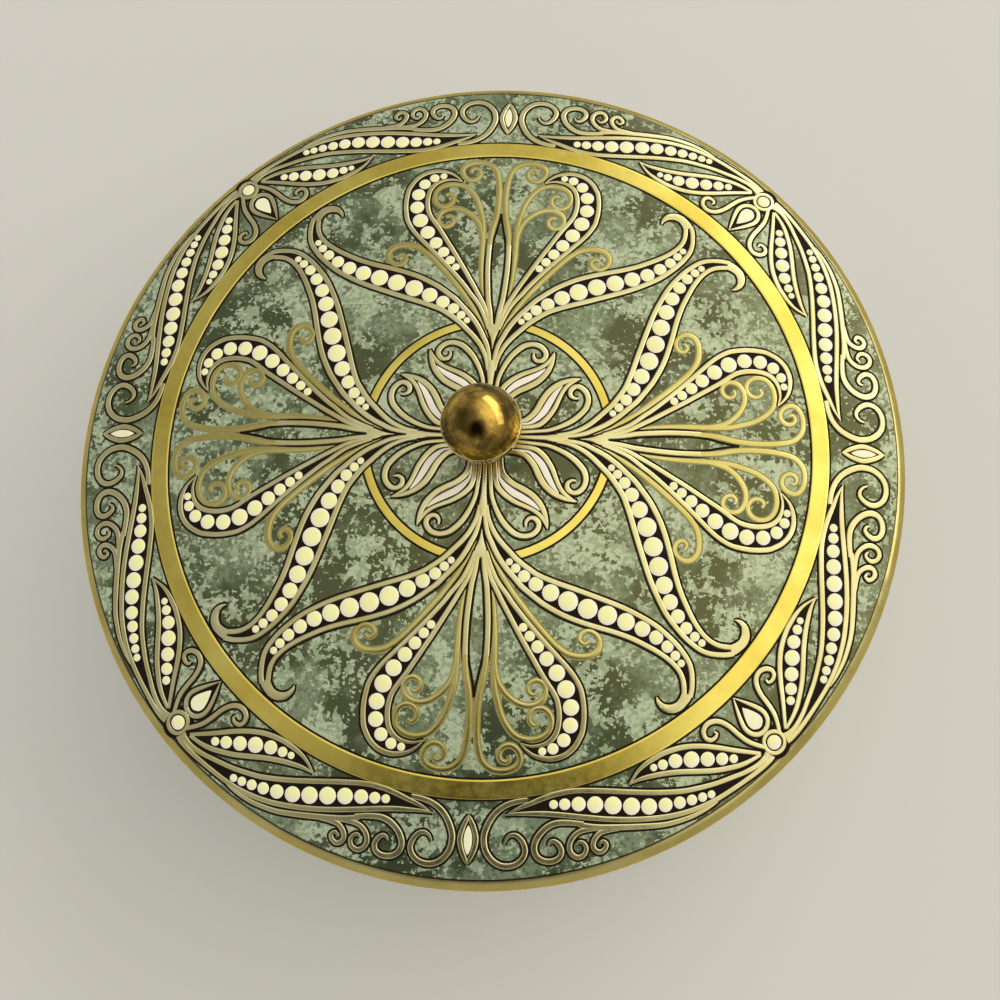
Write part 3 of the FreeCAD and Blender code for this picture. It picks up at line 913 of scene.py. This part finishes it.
# %% Relief from lines
weld_distance = 1e-4
crease_angle = math.radians(14)
bead_corners = [(-1, -0.6), (-0.92, 0.4), (-0.6, 0.85), (0, 1), (0.6, 0.85), (0.92, 0.4), (1, -0.6)]
film_corners = [(-1, -0.6), (-0.92, 0.4), (0.92, 0.4), (1, -0.6)]


def emboss(name, lines, material, section, level, rise_share, flat_top):
    """A section swept along the lines, levelled off and laid over the dome."""
    drawing = polylines(name, lines)
    drawing.data.twist_mode = "Z_UP"
    drawing.data.bevel_mode = "OBJECT"
    drawing.data.bevel_object = section
    drawing.data.use_fill_caps = True
    swept = drawing.evaluated_get(bpy.context.evaluated_depsgraph_get())
    shape = bmesh.new()
    shape.from_mesh(bpy.data.meshes.new_from_object(swept))
    bpy.data.objects.remove(drawing)
    bmesh.ops.remove_doubles(shape, verts=shape.verts, dist=weld_distance)
    bmesh.ops.scale(shape, vec=(mm, mm, rise_share * mm), verts=shape.verts)
    for vert in shape.verts:
        rise = max(-flat_top * mm, min(vert.co.z, flat_top * mm))
        vert.co.z = rise + level * mm + dome_level(vert.co.x, vert.co.y)
    return finish_piece(shape, name, material, "lid", crease_angle)


bead = polylines("bead_section", [[(x, y, 1) for x, y in bead_corners]], closed=True)
film = polylines("film_section", [[(x, y, 1) for x, y in film_corners]], closed=True)
emboss("lid_circle_ink", drawn["circle_ink"], ink, film, level=0.02, rise_share=0.1, flat_top=0.02)
emboss("lid_inner_circle", drawn["circle"], ring_gold, bead, level=0.03, rise_share=0.1, flat_top=0.05)
emboss("lid_tendril_shades", drawn["shade"], olive_shade, film, level=0.02, rise_share=0.1, flat_top=0.03)
emboss("lid_ink_outlines", drawn["ink"], ink, film, level=0.06, rise_share=0.2, flat_top=0.03)
emboss("lid_gold_lines", drawn["gold"], line_gold, bead, level=0.07, rise_share=0.25, flat_top=0.15)
emboss("lid_gold_tendrils", drawn["tendril"], tendril_gold, bead, level=0.06, rise_share=0.16, flat_top=0.1)
emboss("lid_cream_fills", drawn["fill"], fill_enamel, bead, level=0.08, rise_share=0.12, flat_top=0.08)
emboss("lid_cream_hearts", drawn["heart"], heart_enamel, bead, level=0.08, rise_share=0.12, flat_top=0.08)
bpy.data.objects.remove(bead)
bpy.data.objects.remove(film)

# %% [markdown]
# ## Pearls
#
# A pearl is a low dome pressed up from the sheet. There are hundreds, so each is a copy of one coarse
# bead: the upper half of a flattened sphere, closed below, turned to stand square on the dome. Its widest
# part lies under the ink, so what shows is a cap with a clear edge. Smooth shading makes sixteen sides
# look round at this size.

# %% Pearls
pearl_sides, pearl_rows = 16, 6
pearl_overhang = 1.08
pearl_rise_share = 0.12
pearl_seat = 0.1
half_ball = bmesh.new()
bmesh.ops.create_uvsphere(half_ball, u_segments=pearl_sides, v_segments=pearl_rows, radius=pearl_overhang)
bmesh.ops.bisect_plane(half_ball, geom=half_ball.verts[:] + half_ball.edges[:] + half_ball.faces[:],
                       plane_co=(0, 0, 0), plane_no=(0, 0, -1), dist=weld_distance, clear_outer=True)
bmesh.ops.holes_fill(half_ball, edges=[edge for edge in half_ball.edges if edge.is_boundary])
half_ball_mesh = bpy.data.meshes.new("half_ball")
half_ball.to_mesh(half_ball_mesh)
half_ball.free()

all_pearls = bmesh.new()
sunk_share = pearl_rise_share * math.sqrt(pearl_overhang**2 - 1)
for x, y, radius in pearls:
    spot = Vector((x * mm, y * mm, dome_level(x * mm, y * mm)))
    upright = (spot - Vector((0, 0, crown_centre))).normalized()
    seat = spot + upright * (pearl_seat - sunk_share * radius) * mm
    pearl_mesh = half_ball_mesh.copy()
    pearl_mesh.transform(Matrix.LocRotScale(
        seat, Vector((0, 0, 1)).rotation_difference(upright),
        Vector((radius, radius, radius * pearl_rise_share)) * mm))
    all_pearls.from_mesh(pearl_mesh)
    bpy.data.meshes.remove(pearl_mesh)
bpy.data.meshes.remove(half_ball_mesh)
finish_piece(all_pearls, "lid_pearls", pearl_enamel, "lid")

# %% [markdown]
# ## The gold ring
#
# The ring round the palmettes is a broad flat band with a dark line on each side. Its section is a few
# points that are spun once round the axis, with a full spin merged where it closes.

# %% Gold ring
ring_inner, ring_outer, ring_height, ring_edge = 79.8, 84.1, 0.2, 0.25
ring_ink_height, ring_foot = 0.1, -0.12
turned_steps = 192


def turned_band(name, section, material, body):
    """A closed section of radius and height, in metres, spun round the axis."""
    shape = bmesh.new()
    corners = [shape.verts.new((radius, 0, height)) for radius, height in section]
    sides = [shape.edges.new((a, b)) for a, b in zip(corners, corners[1:] + corners[:1])]
    bmesh.ops.spin(shape, geom=corners + sides, cent=(0, 0, 0), axis=(0, 0, 1), angle=math.tau,
                   steps=turned_steps, use_merge=True)
    bmesh.ops.recalc_face_normals(shape, faces=shape.faces)
    return finish_piece(shape, name, material, body)


def on_dome(radius, height):
    """A point of a section at a height above the dome, both in mm."""
    return radius * mm, dome_level(radius * mm, 0) + height * mm


ink_inner, ink_outer = ring_inner - ink_margin, ring_outer + ink_margin
ink_section = [on_dome(ink_inner, ring_foot), on_dome(ink_inner, ring_ink_height),
               on_dome(ink_outer, ring_ink_height), on_dome(ink_outer, ring_foot)]
turned_band("lid_ring_outline", ink_section, ink, "lid")
ring_section = [on_dome(ring_inner, ring_foot), on_dome(ring_inner, ring_height / 2),
                on_dome(ring_inner + ring_edge, ring_height),
                on_dome(ring_inner + 2 * ring_edge, ring_height),
                on_dome(ring_outer - 2 * ring_edge, ring_height),
                on_dome(ring_outer - ring_edge, ring_height),
                on_dome(ring_outer, ring_height / 2), on_dome(ring_outer, ring_foot)]
turned_band("lid_gold_ring", ring_section, ring_gold, "lid")

# %% [markdown]
# ## The ball's joint
#
# The ball is two pressed halves. The edge of the upper one is rolled over the lower one, and the roll is
# given a paler brass, a painted highlight, so it shows as a fine pale line. It is a small round section,
# spun like the ring.

# %% Rolled edge of the ball
ball_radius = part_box("knob_cap")[1].x
joint_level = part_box("knob_cup")[1].z
roll_radius, roll_sides = 0.16 * mm, 10
roll_turns = [math.tau * side / roll_sides for side in range(roll_sides)]
roll_section = [(ball_radius + roll_radius * math.cos(turn), joint_level + roll_radius * math.sin(turn))
                for turn in roll_turns]
# The roll's paler brass is a painted highlight.
turned_band("knob_rolled_edge", roll_section, highlight_brass, "lid")
print(f"the joint lies at {joint_level / mm:.2f} mm on a ball of {ball_radius / mm:.2f} mm radius")

# %% [markdown]
# ## Floor and light
#
# The floor is a plain pale board. Metal shows what stands round it, so the light is a soft surround:
# overhead a broad glow from the right, as from a wall of windows, that fades towards the left. A dim area
# overhead in front stands for the side where the viewer is, and it darkens the front of the ring and the
# middle of the ball. Towards the horizon the surround turns to one pale tone, so the tin has the same
# plain backdrop from every side. One broad lamp gives the ball its highlight and the tin its shadow. It
# stands well back, so that its light falls evenly on the floor.

# %% Floor
floor_half = 3.0
board_grey = "#D9D6CF"
board = bmesh.new()
bmesh.ops.create_grid(board, x_segments=1, y_segments=1, size=floor_half)
floor_mesh = bpy.data.meshes.new("floor")
board.to_mesh(floor_mesh)
board.free()
floor_paint, floor_shader = start_material("matt_pale_board")
fill_sockets(floor_paint, floor_shader, {"Base Color": linear(board_grey), "Roughness": 0.8})
floor_mesh.materials.append(floor_paint)
floor = bpy.data.objects.new("floor", floor_mesh)
bpy.context.scene.collection.objects.link(floor)
print("the floor is", 2 * floor_half, "m wide")

# %% Surround
glow_direction = Vector((0.72, -0.18, 0.67)).normalized()
glow_starts, glow_full = -0.09, 0.88
weakest_glow, strongest_glow = 0.34, 1.45
dim_centre, dim_reach, dim_core_share, dim_share = Vector((-0.08, -0.52)), 0.56, 0.35, 0.03
horizon_glow, horizon_low, horizon_high = 0.6, 0.3, 0.78
cool_white, warm_white = "#FBFCFF", "#FFFCF0"
world = bpy.data.worlds.new("soft_surround")
bpy.context.scene.world = world
world.use_nodes = True
direction = add_node(world, "ShaderNodeTexCoord", output="Generated")
towards_glow = add_node(world, "ShaderNodeVectorMath", {0: direction, 1: glow_direction}, output="Value",
                        operation="DOT_PRODUCT")
glow_share = add_node(world, "ShaderNodeMapRange", {
    "Value": towards_glow, "From Min": glow_starts, "From Max": glow_full}, interpolation_type="SMOOTHSTEP")
glow = add_node(world, "ShaderNodeMapRange", {
    "Value": glow_share, "To Min": weakest_glow, "To Max": strongest_glow})

across = add_node(world, "ShaderNodeSeparateXYZ", {0: direction}, output="X")
ahead = add_node(world, "ShaderNodeSeparateXYZ", {0: direction}, output="Y")
aside = add_node(world, "ShaderNodeMath", {0: across, 1: dim_centre.x}, operation="SUBTRACT")
beyond = add_node(world, "ShaderNodeMath", {0: ahead, 1: dim_centre.y}, operation="SUBTRACT")
behind = add_node(world, "ShaderNodeMath", {0: beyond, 1: 0.0}, operation="MAXIMUM")
away = add_node(world, "ShaderNodeCombineXYZ", {"X": aside, "Y": behind})
from_dim = add_node(world, "ShaderNodeVectorMath", {0: away}, output="Value", operation="LENGTH")
dimming = add_node(world, "ShaderNodeMapRange", {
    "Value": from_dim, "From Min": dim_core_share * dim_reach, "From Max": dim_reach, "To Min": dim_share},
    interpolation_type="SMOOTHSTEP")
overhead = add_node(world, "ShaderNodeMath", {0: glow, 1: dimming}, operation="MULTIPLY")
height = add_node(world, "ShaderNodeSeparateXYZ", {0: direction}, output="Z")
overhead_share = add_node(world, "ShaderNodeMapRange", {
    "Value": height, "From Min": horizon_low, "From Max": horizon_high}, interpolation_type="SMOOTHSTEP")
brightness = add_node(world, "ShaderNodeMix", {0: overhead_share, 2: horizon_glow, 3: overhead})
tint = add_node(world, "ShaderNodeMix", {
    0: glow_share, 6: linear(cool_white), 7: linear(warm_white)}, output=2, data_type="RGBA")
fill_sockets(world, world.node_tree.nodes["Background"], {"Color": tint, "Strength": brightness})
bpy.context.scene.view_settings.view_transform = "Standard"
print("the surround has a strength of", weakest_glow, "to", strongest_glow, "overhead")

# %% Lamp
lamp_direction = Vector((0.66, 0.5, 0.56)).normalized()
lamp_distance, lamp_length, lamp_width, lamp_watts = 2.8, 4.8, 1.1, 32.0
lamp_data = bpy.data.lights.new("window_lamp", "AREA")
lamp_data.shape = "RECTANGLE"
lamp_data.size, lamp_data.size_y = lamp_length, lamp_width
lamp_data.energy = lamp_watts
lamp = bpy.data.objects.new("window_lamp", lamp_data)
lamp.location = lamp_direction * lamp_distance
lamp.rotation_euler = lamp_direction.to_track_quat("Z", "Y").to_euler()
bpy.context.scene.collection.objects.link(lamp)
print("the lamp stands at", [round(part, 2) for part in lamp.location])

# %% [markdown]
# ## Camera
#
# The photograph looks almost straight down from close by. Its place, turn and lens were found by matching
# the ornament's fourfold points, so they are measured values, and the small shift says that the
# photograph is a crop.

# %% Camera
camera_place_mm, camera_turn = (25.6, -52.9, 268.2), (11.63, 0.52, 1.78)
sensor_width, focal_length = 36, 27.4
crop_shift = (-0.0793, 0.0059)
camera_data = bpy.data.cameras.new("camera")
camera_data.sensor_width = sensor_width
camera_data.lens = focal_length
camera_data.shift_x, camera_data.shift_y = crop_shift
camera_data.clip_start = 0.01
camera = bpy.data.objects.new("camera", camera_data)
camera.location = [part * mm for part in camera_place_mm]
camera.rotation_euler = [math.radians(turn) for turn in camera_turn]
bpy.context.scene.collection.objects.link(camera)
bpy.context.scene.camera = camera
print("the camera stands", round(camera.location.z / mm), "mm above the floor")
